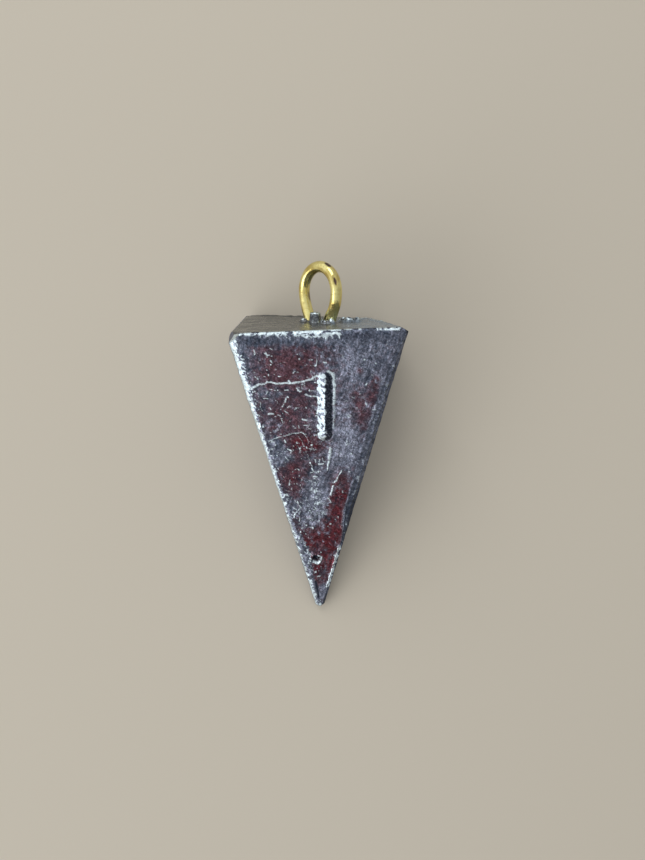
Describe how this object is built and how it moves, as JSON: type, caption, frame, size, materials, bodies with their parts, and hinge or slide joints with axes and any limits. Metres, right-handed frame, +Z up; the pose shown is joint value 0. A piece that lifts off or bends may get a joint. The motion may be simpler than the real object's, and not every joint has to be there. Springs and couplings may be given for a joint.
{
  "type": "pyramid sinker",
  "caption": "Square-pyramid cast lead fishing weight lying on one side face, with a bent brass wire eye cast into its base for tying the line.",
  "frame": {"origin": "centre of the bounding box at the height of the surface that the side face lies on", "axes": "+Z up, +Y from the blunt tip towards the wire eye, +X to the right of someone who looks from the tip to the eye"},
  "size_m": [0.0154, 0.0344, 0.0151],
  "materials": {
    "cast_lead": "satin",
    "brass_wire": "satin"
  },
  "bodies": {
    "root": {"lead_body": "cast_lead", "wire_eye": "brass_wire"}
  },
  "joints": []
}
